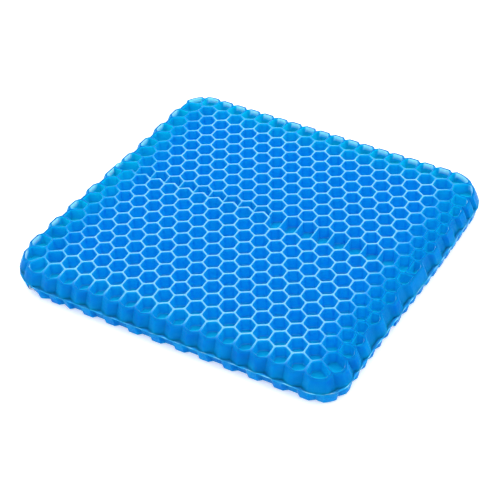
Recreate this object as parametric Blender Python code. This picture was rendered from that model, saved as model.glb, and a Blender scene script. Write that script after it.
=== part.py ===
"""Double-sided honeycomb gel seat cushion, in metres, +Z up, resting on z = 0.

The pad is one soft moulding with three layers: an upper comb whose hexagonal cells open upwards, a thin web
in the parting plane whose edge stands out as a lip, and a lower comb of smaller cells, turned a quarter
turn, that open downwards. It folds across the middle, so each layer is made once for the rear half and
once for the front half. The fold line runs along X in the upper face. The cells are blind: each keeps a
thin floor against the web.
"""

import math

import bmesh
import bpy
from mathutils import Matrix, Vector

# Overall sizes
WIDTH = 0.400  # along X, over the lip
LENGTH = 0.368  # along Y, over the lip
THICKNESS = 0.034
CORNER_RADIUS = 0.040

# Layers, from the surface it rests on upwards
LOWER_COMB_HEIGHT = 0.0152
WEB_THICKNESS = 0.0012
LAYER_GAP = 0.0003  # clearance between layers that touch
FOLD_GAP = 0.0003  # clearance between the two halves
LIP_WIDTH = 0.0010  # how far the web's edge stands out past the combs

# Upper comb: its rows of cells run along X
UPPER_PITCH = 0.0192  # centre to centre
UPPER_WALL = 0.0020
UPPER_DRAFT = 0.0060  # how far the outer wall leans in over its height
UPPER_REAR_SCALLOP = (0.60, 0.20)  # each scallop's flat and slope along the edge, in pitches
UPPER_SIDE_SCALLOP = (0.60, 0.30)
# Lower comb: its rows run along Y
LOWER_PITCH = 0.0162
LOWER_WALL = 0.0018
LOWER_DRAFT = 0.0032
LOWER_REAR_SCALLOP = (0.80, 0.25)
LOWER_SIDE_SCALLOP = (0.60, 0.20)

FLOOR = 0.0012  # gel left between a cell and the web
RIM_WALL = 0.0020  # gel left outside the outermost cells, at the face
CELL_TAPER = 0.0004  # how much narrower a cell's floor is than its mouth, in radius
SCALLOP_DEPTH = 0.0030  # how far the outer wall draws in between cells

ROW_STEP = math.sqrt(3) / 2  # distance between rows of a hexagonal lattice, in pitches
CUT_OVERRUN = 0.002  # how far a cutter passes the face it opens
CORNER_STEPS = 8  # straight pieces in each rounded corner
ROUNDING = 1e-6  # slack when a cell is tested against a limit that it just meets
GEL_BLUE = (0.010, 0.225, 0.745, 1.0)
WEB_BLUE = (0.030, 0.330, 0.800, 1.0)


class Comb:
    """The sizes of one layer of cells, and where its cells and scallops lie in the rear half."""

    def __init__(self, pitch, wall, draft, scallops, span, opens_up, rows_along_x):
        self.pitch = pitch
        self.wall = wall
        self.draft = draft
        self.rear_scallop, self.side_scallop = scallops
        self.low, self.high = span
        self.opens_up = opens_up
        self.rows_along_x = rows_along_x
        self.mouth_radius = (pitch - wall) / math.sqrt(3)
        self.margin = LIP_WIDTH + draft + RIM_WALL

    def reach(self):
        """Half the size of a cell's mouth along X and along Y."""
        corner = self.mouth_radius
        flat = self.mouth_radius * ROW_STEP
        return (flat, corner) if self.rows_along_x else (corner, flat)

    def centres(self):
        """Centres of the whole cells of the rear half, counted from its rear edge."""
        reach_x, reach_y = self.reach()
        first_y = LENGTH / 2 - self.margin - reach_y
        step = self.pitch * ROW_STEP
        count = int(WIDTH / step)
        found = []
        if self.rows_along_x:
            for row in range(int(first_y / step) + 1):
                shift = 0.5 * self.pitch if row % 2 == 0 else 0.0
                for column in range(-count, count + 1):
                    found.append((column * self.pitch + shift, first_y - row * step))
        else:
            for column in range(-count, count + 1):
                start = first_y - (0.5 * self.pitch if column % 2 else 0.0)
                for row in range(int(start / self.pitch) + 1):
                    found.append((column * step, start - row * self.pitch))
        return [cell for cell in found if self.fits(*cell)]

    def fits(self, x, y):
        """Whether a cell's mouth lies inside the rim wall and clear of the fold."""
        turn = math.pi / 6 if self.rows_along_x else 0.0
        for corner in range(6):
            angle = turn + corner * math.pi / 3
            corner_x = x + self.mouth_radius * math.cos(angle)
            corner_y = y + self.mouth_radius * math.sin(angle)
            if corner_y < FOLD_GAP / 2 + self.wall / 2 - ROUNDING:
                return False
            if edge_distance(corner_x, corner_y) < self.margin - ROUNDING:
                return False
        return True

    def bulges(self, axis):
        """(centres, flat width, slope width) of the scallops along the rear edge, 0, or a side edge, 1."""
        cells = self.centres()
        outermost = max(cell[1 - axis] for cell in cells)
        edge_cells = [cell for cell in cells if cell[1 - axis] > outermost - self.pitch / 4]
        flat, slope = self.side_scallop if axis else self.rear_scallop
        return sorted({cell[axis] for cell in edge_cells}), flat * self.pitch, slope * self.pitch


def edge_distance(x, y):
    """Distance from a point inside the cushion to its rounded outline."""
    across = abs(x) - (WIDTH / 2 - CORNER_RADIUS)
    along = abs(y) - (LENGTH / 2 - CORNER_RADIUS)
    if across > 0 and along > 0:
        return CORNER_RADIUS - math.hypot(across, along)
    return CORNER_RADIUS - max(across, along)


def clear_scene():
    for obj in list(bpy.data.objects):
        bpy.data.objects.remove(obj, do_unlink=True)


def gel_material(name, colour, roughness):
    """A glossy, slightly clear thermoplastic gel."""
    material = bpy.data.materials.new(name)
    material.use_nodes = True
    shader = material.node_tree.nodes["Principled BSDF"]
    shader.inputs["Base Color"].default_value = colour
    shader.inputs["Roughness"].default_value = roughness
    shader.inputs["Metallic"].default_value = 0.0
    shader.inputs["IOR"].default_value = 1.49
    shader.inputs["Transmission Weight"].default_value = 0.35
    material.diffuse_color = colour
    return material


def scalloped_edge(bulges, start, stop):
    """(place, depth) pairs along one edge from start to stop, drawn in between the bulges."""
    centres, flat, slope = bulges
    points = []
    for centre in centres:
        if centre - flat / 2 - slope < start or centre + flat / 2 + slope > stop:
            continue
        for place, depth in (
            (centre - flat / 2 - slope, SCALLOP_DEPTH),
            (centre - flat / 2, 0.0),
            (centre + flat / 2, 0.0),
            (centre + flat / 2 + slope, SCALLOP_DEPTH),
        ):
            if not points or place > points[-1][0] + ROUNDING:
                points.append((place, depth))
    return points


def corner_arc(inset):
    """Points round the rear right corner, for an outline drawn in by inset."""
    radius = CORNER_RADIUS - inset
    middle_x = WIDTH / 2 - CORNER_RADIUS
    middle_y = LENGTH / 2 - CORNER_RADIUS
    points = []
    for step in range(CORNER_STEPS + 1):
        angle = step * math.pi / 2 / CORNER_STEPS
        points.append((middle_x + radius * math.cos(angle), middle_y + radius * math.sin(angle)))
    return points


def half_outline(inset, comb=None):
    """Counter-clockwise outline of the rear half, drawn in by inset, scalloped where a comb is given."""
    side_x = WIDTH / 2 - inset
    far_y = LENGTH / 2 - inset
    corner_y = LENGTH / 2 - CORNER_RADIUS
    corner_x = WIDTH / 2 - CORNER_RADIUS
    side = [(0.0, 0.0)]
    far = []
    if comb:
        side = [(0.0, SCALLOP_DEPTH)] + scalloped_edge(comb.bulges(1), FOLD_GAP, corner_y)
        far = scalloped_edge(comb.bulges(0), -corner_x, corner_x)
    fold_y = FOLD_GAP / 2
    right = [(side_x - depth, max(place, fold_y)) for place, depth in side]
    arc = corner_arc(inset)
    rear = [(place, far_y - depth) for place, depth in reversed(far)]
    left_arc = [(-x, y) for x, y in reversed(arc)]
    left = [(-x, y) for x, y in reversed(right)]
    return right + arc + rear + left_arc + left


def loft(name, low_outline, high_outline, low, high):
    """A closed prism between two outlines with as many points each."""
    mesh = bpy.data.meshes.new(name)
    shape = bmesh.new()
    low_ring = [shape.verts.new((x, y, low)) for x, y in low_outline]
    high_ring = [shape.verts.new((x, y, high)) for x, y in high_outline]
    shape.faces.new(list(reversed(low_ring)))
    shape.faces.new(high_ring)
    for index, corner in enumerate(low_ring):
        after = (index + 1) % len(low_ring)
        shape.faces.new((corner, low_ring[after], high_ring[after], high_ring[index]))
    bmesh.ops.recalc_face_normals(shape, faces=shape.faces)
    shape.to_mesh(mesh)
    shape.free()
    return mesh


def cell_cutters(name, comb):
    """One mesh of six-sided tapered prisms, one for each cell, passing the face that they open."""
    mesh = bpy.data.meshes.new(name)
    shape = bmesh.new()
    floor = comb.low + FLOOR if comb.opens_up else comb.high - FLOOR
    mouth = comb.high if comb.opens_up else comb.low
    depth = abs(mouth - floor)
    floor_radius = comb.mouth_radius - CELL_TAPER
    outer_radius = comb.mouth_radius + CELL_TAPER * CUT_OVERRUN / depth
    flip = Matrix.Identity(4) if comb.opens_up else Matrix.Rotation(math.pi, 4, "X")
    turn = Matrix.Rotation(0.0 if comb.rows_along_x else math.pi / 2, 4, "Z")
    middle = (floor + mouth) / 2 + math.copysign(CUT_OVERRUN / 2, mouth - floor)
    for x, y in comb.centres():
        bmesh.ops.create_cone(
            shape,
            cap_ends=True,
            segments=6,
            radius1=floor_radius,
            radius2=outer_radius,
            depth=depth + CUT_OVERRUN,
            matrix=Matrix.Translation(Vector((x, y, middle))) @ flip @ turn,
        )
    shape.to_mesh(mesh)
    shape.free()
    return mesh


def place(name, mesh, material, turned, parent):
    """An object of this mesh under a body's empty. The front half is the rear half turned half round."""
    obj = bpy.data.objects.new(name, mesh)
    if material and not mesh.materials:
        mesh.materials.append(material)
    obj.parent = parent
    obj.matrix_parent_inverse = Matrix.Translation(parent.location).inverted()
    obj.rotation_euler.z = math.pi if turned else 0.0
    bpy.context.scene.collection.objects.link(obj)
    return obj


def add_comb(half, layer, comb, block, cells, material, turned, parent):
    """A block of gel with its cells cut out."""
    cutter = place(f"{half}_{layer}_cell_cutter", cells, None, turned, parent)
    cutter.hide_render = True
    cutter.display_type = "WIRE"
    body = place(f"{half}_{layer}_comb", block, material, turned, parent)
    cut = body.modifiers.new("cells", "BOOLEAN")
    cut.operation = "DIFFERENCE"
    cut.solver = "EXACT"
    cut.object = cutter
    return body


def body_empty(name, location):
    empty = bpy.data.objects.new(name, None)
    empty.location = location
    empty.empty_display_size = 0.03
    bpy.context.scene.collection.objects.link(empty)
    return empty


def main():
    clear_scene()
    gel = gel_material("gel_blue", GEL_BLUE, 0.22)
    web_gel = gel_material("gel_web_blue", WEB_BLUE, 0.25)
    web_low = LOWER_COMB_HEIGHT + LAYER_GAP
    web_high = web_low + WEB_THICKNESS
    lower = Comb(
        LOWER_PITCH,
        LOWER_WALL,
        LOWER_DRAFT,
        (LOWER_REAR_SCALLOP, LOWER_SIDE_SCALLOP),
        (0.0, LOWER_COMB_HEIGHT),
        opens_up=False,
        rows_along_x=False,
    )
    upper = Comb(
        UPPER_PITCH,
        UPPER_WALL,
        UPPER_DRAFT,
        (UPPER_REAR_SCALLOP, UPPER_SIDE_SCALLOP),
        (web_high + LAYER_GAP, THICKNESS),
        opens_up=True,
        rows_along_x=True,
    )
    lower_block = loft(
        "lower_block",
        half_outline(LIP_WIDTH + LOWER_DRAFT, lower),
        half_outline(LIP_WIDTH, lower),
        lower.low,
        lower.high,
    )
    upper_block = loft(
        "upper_block",
        half_outline(LIP_WIDTH, upper),
        half_outline(LIP_WIDTH + UPPER_DRAFT, upper),
        upper.low,
        upper.high,
    )
    web = loft("web", half_outline(0.0), half_outline(0.0), web_low, web_high)
    lower_cells = cell_cutters("lower_cells", lower)
    upper_cells = cell_cutters("upper_cells", upper)
    rear = body_empty("rear_half", (0.0, 0.0, 0.0))
    fold = body_empty("centre_fold", (0.0, 0.0, THICKNESS + FOLD_GAP / 2))
    fold.parent = rear
    bpy.context.view_layer.update()
    for half, turned, parent in (("rear", False, rear), ("front", True, fold)):
        add_comb(half, "lower", lower, lower_block, lower_cells, gel, turned, parent)
        place(f"{half}_parting_web", web, web_gel, turned, parent)
        add_comb(half, "upper", upper, upper_block, upper_cells, gel, turned, parent)


main()
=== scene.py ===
"""Looks of a double-sided honeycomb gel seat cushion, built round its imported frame.

The cushion is one soft moulding: an upper comb of open hexagonal cells, a thin web in the parting plane
whose edge shows as a lip, and a lower comb of finer cells turned a quarter turn. The two halves of the
upper comb meet along a packing crease, where their rows of cells no longer line up.
"""

import logging
import math
from dataclasses import dataclass, field
from enum import Enum
from typing import ClassVar

import bpy
import numpy as np
from mathutils import Matrix, Vector
from mathutils.geometry import delaunay_2d_cdt


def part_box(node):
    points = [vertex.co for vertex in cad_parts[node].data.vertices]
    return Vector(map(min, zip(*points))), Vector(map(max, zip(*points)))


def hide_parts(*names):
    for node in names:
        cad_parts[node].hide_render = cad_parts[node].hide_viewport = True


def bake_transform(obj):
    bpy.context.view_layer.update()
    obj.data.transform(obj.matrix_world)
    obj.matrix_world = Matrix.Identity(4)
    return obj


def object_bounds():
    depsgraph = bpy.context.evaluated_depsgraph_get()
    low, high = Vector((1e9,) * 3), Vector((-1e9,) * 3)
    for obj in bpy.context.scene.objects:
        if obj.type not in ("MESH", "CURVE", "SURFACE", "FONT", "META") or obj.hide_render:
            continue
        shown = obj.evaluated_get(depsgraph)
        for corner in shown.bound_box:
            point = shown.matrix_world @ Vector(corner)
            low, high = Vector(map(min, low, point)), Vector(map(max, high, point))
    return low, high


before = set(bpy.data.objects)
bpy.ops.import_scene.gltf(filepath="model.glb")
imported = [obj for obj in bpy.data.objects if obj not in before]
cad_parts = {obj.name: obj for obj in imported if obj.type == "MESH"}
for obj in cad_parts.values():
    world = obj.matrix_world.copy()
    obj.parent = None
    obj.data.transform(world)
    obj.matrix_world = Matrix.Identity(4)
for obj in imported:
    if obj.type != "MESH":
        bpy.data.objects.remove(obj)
CAD_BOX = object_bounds()

LOG = logging.getLogger("gel_cushion")
MM = 0.001
ROW_STEP = math.sqrt(3) / 2  # from row to row of a lattice, in pitches
MERGE = 0.13  # corners nearer to each other than this, in pitches, become one
PAST_EDGE = 2.4  # how far outside lattice points still shape the outermost cells, in pitches
SAME_POINT = 1e-7
SHARP_ANGLE = math.radians(42)

UPPER_PITCH = 19.2 * MM
LOWER_PITCH = 16.2 * MM

Point = tuple[float, float]
Colour = tuple[float, float, float, float]
Masks = tuple[float, ...]
Mixable = bpy.types.NodeSocket | Colour


def clamped(share: float) -> float:
    """The share, kept between 0 and 1."""
    return min(max(share, 0.0), 1.0)


def eased(share: float) -> float:
    """The share, kept between 0 and 1 and eased at both ends."""
    share = clamped(share)
    return share * share * (3 - 2 * share)


def cross(a: Point, b: Point) -> float:
    """The cross product of two vectors, above 0 where the second turns left of the first."""
    return a[0] * b[1] - a[1] * b[0]


class Side(Enum):
    """Which face of the cushion a comb opens through."""

    UP = 1
    DOWN = -1


@dataclass(frozen=True)
class Outline:
    """The cushion's rounded outline, with a corner radius of its own at each corner.

    The soft front half lies a little to the left of the rear half, so the outline drifts sideways. It does
    so over drift_run, from Y = drift_start on. front_tilt turns the front end and front_more pushes it out.
    """

    half_width: float
    half_length: float
    rear_left: float = 40 * MM
    rear_right: float = 44 * MM
    front_left: float = 51 * MM
    front_right: float = 33 * MM
    rear_drift: float = 2.4 * MM
    front_drift: float = -3.2 * MM
    drift_start: float = 0.075
    drift_run: float = 0.20
    front_tilt: float = 0.028
    front_more: float = 2.0 * MM

    def drift(self, y: float) -> float:
        """How far the outline's middle lies off X = 0 at this Y."""
        share = eased((self.drift_start - y) / self.drift_run)
        return self.rear_drift + (self.front_drift - self.rear_drift) * share

    def length(self, x: float, y: float) -> float:
        """How far an end lies from the middle. The front end runs askew, as its rows of cells do.

        Args:
            x: where along the end.
            y: above 0 for the rear end, or else for the front one.

        Returns:
            The distance.
        """
        if y > 0:
            return self.half_length
        return self.half_length + self.front_more - self.front_tilt * x

    def radius(self, x: float, y: float) -> float:
        """The radius of the corner nearest a point.

        Args:
            x: the point's distance to the right of the outline's middle.
            y: the point's Y.

        Returns:
            The radius.
        """
        if y > 0:
            return self.rear_right if x > 0 else self.rear_left
        return self.front_right if x > 0 else self.front_left

    def inside(self, x: float, y: float, inset: float) -> tuple[float, float, float]:
        """Measures a point against the outline drawn in by inset.

        Args:
            x: the point's X.
            y: the point's Y.
            inset: how far the outline is drawn in.

        Returns:
            The distance inside that outline, and the outward direction there.
        """
        across = x - self.drift(y)
        radius = self.radius(across, y)
        corner_x = abs(across) - (self.half_width - radius)
        corner_y = abs(y) - (self.length(x, y) - radius)
        if corner_x > 0 and corner_y > 0:
            reach = math.hypot(corner_x, corner_y)
            normal = (math.copysign(corner_x / reach, across), math.copysign(corner_y / reach, y))
            return radius - inset - reach, *normal
        to_side = self.half_width - inset - abs(across)
        to_end = self.length(x, y) - inset - abs(y)
        if to_side < to_end:
            return to_side, math.copysign(1.0, across), 0.0
        return to_end, 0.0, math.copysign(1.0, y)

    def snap(self, point: Point, inset: float) -> Point:
        """Moves a point straight out or in to the outline drawn in by inset."""
        distance, out_x, out_y = self.inside(*point, inset)
        return point[0] + out_x * distance, point[1] + out_y * distance

    def perimeter(self, inset: float, spacing: float) -> list[Point]:
        """Points in order round the outline drawn in by inset.

        Args:
            inset: how far the outline is drawn in.
            spacing: about how far apart the points lie.

        Returns:
            The points, counter-clockwise.
        """
        count = int(2 * math.pi * self.half_width / spacing)
        halvings = 40
        points = []
        for step in range(count):
            angle = 2 * math.pi * step / count
            ray = (math.cos(angle), math.sin(angle))
            low, high = 0.0, 2 * self.half_width
            for _ in range(halvings):
                middle = (low + high) / 2
                if self.inside(ray[0] * middle, ray[1] * middle, inset)[0] > 0:
                    low = middle
                else:
                    high = middle
            points.append((ray[0] * low, ray[1] * low))
        return points


@dataclass(frozen=True)
class Lattice:
    """A regular lattice of cell centres."""

    origin: Point
    pitch: float
    turn: float = 0.0

    def centre(self, column: float, row: int) -> Point:
        """The place of one cell, with rows stepping towards the front edge.

        Args:
            column: the cell's number along its row, with a half in every other row.
            row: the row's number.

        Returns:
            The cell's centre.
        """
        along = column * self.pitch
        back = row * ROW_STEP * self.pitch
        x = self.origin[0] + math.cos(self.turn) * along - math.sin(self.turn) * back
        y = self.origin[1] - math.sin(self.turn) * along - math.cos(self.turn) * back
        return x, y


class Border(Enum):
    """What lies beyond a wall that no second cell of the same half shares."""

    OUTSIDE = 1
    CREASE = 2


@dataclass
class Tiling:
    """Cell outlines that share their corners.

    draw_in says how far each corner on the edge draws in, and sunk how far a corner dips at the crease.
    """

    points: list[Point] = field(default_factory=list)
    cells: list[list[int]] = field(default_factory=list)
    draw_in: dict[int, float] = field(default_factory=dict)
    sunk: dict[int, float] = field(default_factory=dict)

    def add(self, point: Point) -> int:
        """Adds a corner and returns its number."""
        self.points.append(point)
        return len(self.points) - 1

    def rim(self) -> list[int]:
        """Finds the outer edge.

        Returns:
            The corners on it, in order.
        """
        used = {(a, b) for cell in self.cells for a, b in zip(cell, cell[1:] + cell[:1])}
        after = {a: b for a, b in used if (b, a) not in used}
        loop = [min(after)]
        while after[loop[-1]] != loop[0]:
            loop.append(after[loop[-1]])
        return loop


@dataclass
class Field:
    """One lattice's cells, with the centres past the edge and past the crease that close them."""

    centres: list[Point] = field(default_factory=list)
    outside: list[Point] = field(default_factory=list)
    beyond: list[Point] = field(default_factory=list)


@dataclass
class Walls:
    """The walls midway between neighbouring cells."""

    corners: list[Point]
    rings: list[list[int]]
    meeting: list[int]
    border: dict[tuple[int, int], Border]


def circumcentre(a: Point, b: Point, c: Point) -> Point:
    """Finds the point as far from all three corners of a triangle.

    Args:
        a: one corner.
        b: the second corner.
        c: the third corner.

    Returns:
        The point.
    """
    double = 2 * ((b[0] - a[0]) * (c[1] - a[1]) - (b[1] - a[1]) * (c[0] - a[0]))
    to_b = (b[0] - a[0]) ** 2 + (b[1] - a[1]) ** 2
    to_c = (c[0] - a[0]) ** 2 + (c[1] - a[1]) ** 2
    x = a[0] + ((c[1] - a[1]) * to_b - (b[1] - a[1]) * to_c) / double
    y = a[1] + ((b[0] - a[0]) * to_c - (c[0] - a[0]) * to_b) / double
    return x, y


def merged_corners(faces: list[list[int]], corners: list[Point], merge: float) -> list[int]:
    """Merges the corners of walls that lie near each other.

    Args:
        faces: the triangles between neighbouring cells, each of which gives one corner.
        corners: the corners.
        merge: corners nearer to each other than this become one.

    Returns:
        For each corner, the number of the one that stands for it.
    """
    alias = list(range(len(corners)))
    shared: dict[tuple[int, int], int] = {}
    for index, face in enumerate(faces):
        for a, b in zip(face, face[1:] + face[:1]):
            key = (min(a, b), max(a, b))
            if key in shared and math.dist(corners[index], corners[shared[key]]) < merge:
                alias[index] = alias[shared[key]]
            shared.setdefault(key, index)
    return alias


def walls_between(cells: Field, merge: float) -> Walls:
    """Puts a wall midway between every two neighbouring cells.

    Args:
        cells: the centres.
        merge: corners nearer to each other than this become one.

    Returns:
        The walls.
    """
    seeds = [Vector(point) for point in cells.centres + cells.outside + cells.beyond]
    seeds, _, faces, kept, _, _ = delaunay_2d_cdt(seeds, [], [], 0, SAME_POINT)
    source = [ids[0] if ids else -1 for ids in kept]
    corners = [circumcentre(*(tuple(seeds[i]) for i in face)) for face in faces]
    alias = merged_corners(faces, corners, merge)
    around: dict[int, list[int]] = {}
    for index, face in enumerate(faces):
        for seed in face:
            around.setdefault(seed, []).append(index)
    made = Walls(corners, [[] for _ in cells.centres], [0] * len(corners), {})
    meeting = [set() for _ in corners]
    for seed, near in around.items():
        owner = source[seed]
        if owner < 0 or owner >= len(cells.centres):
            continue
        middle = cells.centres[owner]
        near.sort(key=lambda i: math.atan2(corners[i][1] - middle[1], corners[i][0] - middle[0]))
        for here, after in zip(near, near[1:] + near[:1]):
            a, b = alias[here], alias[after]
            if a == b:
                continue
            made.rings[owner].append(a)
            meeting[a].add(owner)
            across = (set(faces[here]) & set(faces[after])) - {seed}
            neighbour = source[across.pop()] if across else len(cells.centres)
            if neighbour >= len(cells.centres) + len(cells.outside):
                made.border[(a, b)] = Border.CREASE
            elif neighbour >= len(cells.centres):
                made.border[(a, b)] = Border.OUTSIDE
    made.meeting = [len(owners) for owners in meeting]
    return made


@dataclass
class EdgeShape:
    """How the outermost cells stretch to the scalloped edge of a comb's face.

    slope is how far a scallop's sides reach from the corner between two cells. It turns into front_slope
    towards the front, over the length blend.
    """

    outline: Outline
    inset: float
    depth: float
    slope: float
    front_slope: float
    blend: float = 0.12

    def reach(self, y: float) -> float:
        """How far a scallop's side reaches at this Y."""
        share = clamped(0.5 - y / self.blend)
        return self.slope + (self.front_slope - self.slope) * share

    def along(self, start: Point, end: Point, valleys: list[float]) -> list[tuple[Point, float]]:
        """Points between two corners on the edge, with how far each draws in.

        Args:
            start: the first corner.
            end: the second corner.
            valleys: the ends, 0 or 1, that lie between two cells.

        Returns:
            The points before they draw in, and their depths.
        """
        shortest = 0.1 * MM
        length = max(math.dist(start, end), shortest)
        slope = min(self.reach(start[1]), length)
        shares = [0.25, 0.5, 0.75]
        if len(valleys) == 1:
            slope_end = min(abs(valleys[0] - slope / length), 0.97)
            shares = sorted((0.3, 0.8, slope_end))
        made = []
        for share in shares:
            x = start[0] + (end[0] - start[0]) * share
            y = start[1] + (end[1] - start[1]) * share
            depth = self.depth * len(valleys) / 2
            if len(valleys) == 1:
                away = abs(share - valleys[0]) * length
                depth = self.depth * max(0.0, 1 - away / slope)
            made.append((self.outline.snap((x, y), self.inset), depth))
        return made

    def close(self, walls: Walls) -> Tiling:
        """Turns the walls into a tiling whose edge follows the outline.

        Args:
            walls: the walls.

        Returns:
            The tiling.
        """
        tiling = Tiling(points=[tuple(corner) for corner in walls.corners])
        edge = [pair for pair, kind in walls.border.items() if kind is Border.OUTSIDE]
        for node in {node for pair in edge for node in pair}:
            tiling.draw_in[node] = self.depth if walls.meeting[node] > 1 else 0.0
            tiling.points[node] = self.outline.snap(tiling.points[node], self.inset)
        split: dict[tuple[int, int], list[int]] = {}
        for a, b in sorted(edge):
            valleys = [place for place, node in ((0.0, a), (1.0, b)) if tiling.draw_in[node] > 0]
            split[(a, b)] = []
            for point, depth in self.along(tiling.points[a], tiling.points[b], valleys):
                node = tiling.add(point)
                tiling.draw_in[node] = depth
                split[(a, b)].append(node)
        for node, depth in tiling.draw_in.items():
            tiling.points[node] = self.outline.snap(tiling.points[node], self.inset + depth)
        for ring in walls.rings:
            whole = []
            for a, b in zip(ring, ring[1:] + ring[:1]):
                whole += [a] + split.get((a, b), [])
            tiling.cells.append(whole)
        return tiling


@dataclass
class Crease:
    """Joins two tilings whose cells don't line up. The front one's cells lie over the rear one's.

    DIPS says where along a rear wall its extra corners stand, and each dips by the same share.
    """

    DIPS: ClassVar[tuple[float, ...]] = (0.5, 0.82)

    rear: Tiling
    front: Tiling
    rear_border: dict[tuple[int, int], Border]
    front_border: dict[tuple[int, int], Border]
    near: float
    crossings: dict[int, tuple[int, list[int]]] = field(default_factory=dict)

    def chain(self, shift: int) -> list[int]:
        """Follows the front tiling's corners along the crease.

        Args:
            shift: what the corners' numbers go up by in the joined tiling.

        Returns:
            The corners, from left to right.
        """
        after = {b: a for (a, b), kind in self.front_border.items() if kind is Border.CREASE}
        start = (set(after) - set(after.values())).pop()
        chain = [start]
        while chain[-1] in after:
            chain.append(after[chain[-1]])
        return [node + shift for node in chain]

    def crossing(self, tiling: Tiling, chain: list[int], x: float) -> int:
        """Finds the corner where a wall meets the crease, and adds one where there's none.

        Args:
            tiling: the tiling under construction.
            chain: the crease, which takes the new corner in.
            x: where the wall comes down.

        Returns:
            The corner.
        """
        for place in range(len(chain) - 1):
            a, b = tiling.points[chain[place]], tiling.points[chain[place + 1]]
            if not a[0] <= x <= b[0]:
                continue
            for node, point in ((chain[place], a), (chain[place + 1], b)):
                if abs(point[0] - x) < self.near:
                    return node
            share = (x - a[0]) / (b[0] - a[0])
            node = tiling.add((x, a[1] + (b[1] - a[1]) * share))
            chain.insert(place + 1, node)
            return node
        return chain[0] if x < tiling.points[chain[0]][0] else chain[-1]

    def join(self) -> Tiling:
        """Makes one tiling of both.

        Returns:
            The tiling, with the rear cells first.
        """
        shift = len(self.rear.points)
        joined = Tiling(points=self.rear.points + self.front.points)
        joined.draw_in = dict(self.rear.draw_in)
        joined.draw_in.update({node + shift: depth for node, depth in self.front.draw_in.items()})
        chain = self.chain(shift)
        own = set(chain)
        self.add_rear(joined, chain)
        self.add_front(joined, chain, own, shift)
        return joined

    def add_rear(self, joined: Tiling, chain: list[int]) -> None:
        """Adds the rear cells, and closes those that are open towards the crease along it.

        Args:
            joined: the tiling under construction.
            chain: the crease, which takes in the corners where the rear walls meet it.
        """
        open_cells = []
        for cell in self.rear.cells:
            pairs = list(zip(cell, cell[1:] + cell[:1]))
            run = [pair for pair in pairs if self.rear_border.get(pair) is Border.CREASE]
            if not run:
                joined.cells.append(cell)
                continue
            first = next(a for a, b in run if a not in {end for _, end in run})
            last = next(b for a, b in run if b not in {start for start, _ in run})
            low = self.end_of_wall(joined, chain, cell, first, -1)
            high = self.end_of_wall(joined, chain, cell, last, 1)
            dropped = {node for pair in run for node in pair}
            turned = cell[cell.index(last):] + cell[:cell.index(last)]
            open_cells.append(([node for node in turned if node not in dropped], low, high))
        for kept, low, high in open_cells:
            span = chain[chain.index(low[0]):chain.index(high[0]) + 1]
            joined.cells.append(kept + low[1] + span + high[1][::-1])

    def add_front(self, joined: Tiling, chain: list[int], own: set[int], shift: int) -> None:
        """Adds the front cells, with the corners that the rear walls put on the crease.

        Args:
            joined: the tiling under construction.
            chain: the crease.
            own: the front tiling's own corners on the crease.
            shift: what the front corners' numbers go up by.
        """
        places = {node: place for place, node in enumerate(chain)}
        for cell in self.front.cells:
            whole = []
            moved = [node + shift for node in cell]
            for a, b in zip(moved, moved[1:] + moved[:1]):
                whole.append(a)
                along_crease = a in own and b in own and places[a] > places[b]
                if along_crease and self.front_border.get((a - shift, b - shift)) is Border.CREASE:
                    whole += chain[places[b] + 1:places[a]][::-1]
            joined.cells.append(whole)

    def end_of_wall(
        self, joined: Tiling, chain: list[int], cell: list[int], node: int, side: int
    ) -> tuple[int, list[int]]:
        """Carries a side wall of a rear cell on to the crease, dipping as it goes.

        Args:
            joined: the tiling under construction.
            chain: the crease.
            cell: the rear cell.
            node: the wall's old end.
            side: -1 for the cell's left wall and 1 for its right one.

        Returns:
            The corner on the crease, and the corners on the way there.
        """
        if node in joined.draw_in:
            return (chain[0] if side < 0 else chain[-1]), []
        if node not in self.crossings:
            place = cell.index(node)
            start = joined.points[cell[(place + side) % len(cell)]]
            end = self.crossing(joined, chain, joined.points[node][0])
            way = []
            for share in self.DIPS:
                x = start[0] + (joined.points[end][0] - start[0]) * share
                y = start[1] + (joined.points[end][1] - start[1]) * share
                way.append(joined.add((x, y)))
                joined.sunk[way[-1]] = share
            self.crossings[node] = (end, way)
        return self.crossings[node]


def centroid(points: list[Point]) -> Point:
    """Finds the middle of a polygon's area.

    Args:
        points: the polygon's corners.

    Returns:
        The middle.
    """
    area, x, y = 0.0, 0.0, 0.0
    for a, b in zip(points, points[1:] + points[:1]):
        part = cross(a, b)
        area += part
        x += (a[0] + b[0]) * part
        y += (a[1] + b[1]) * part
    return x / (3 * area), y / (3 * area)


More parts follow.
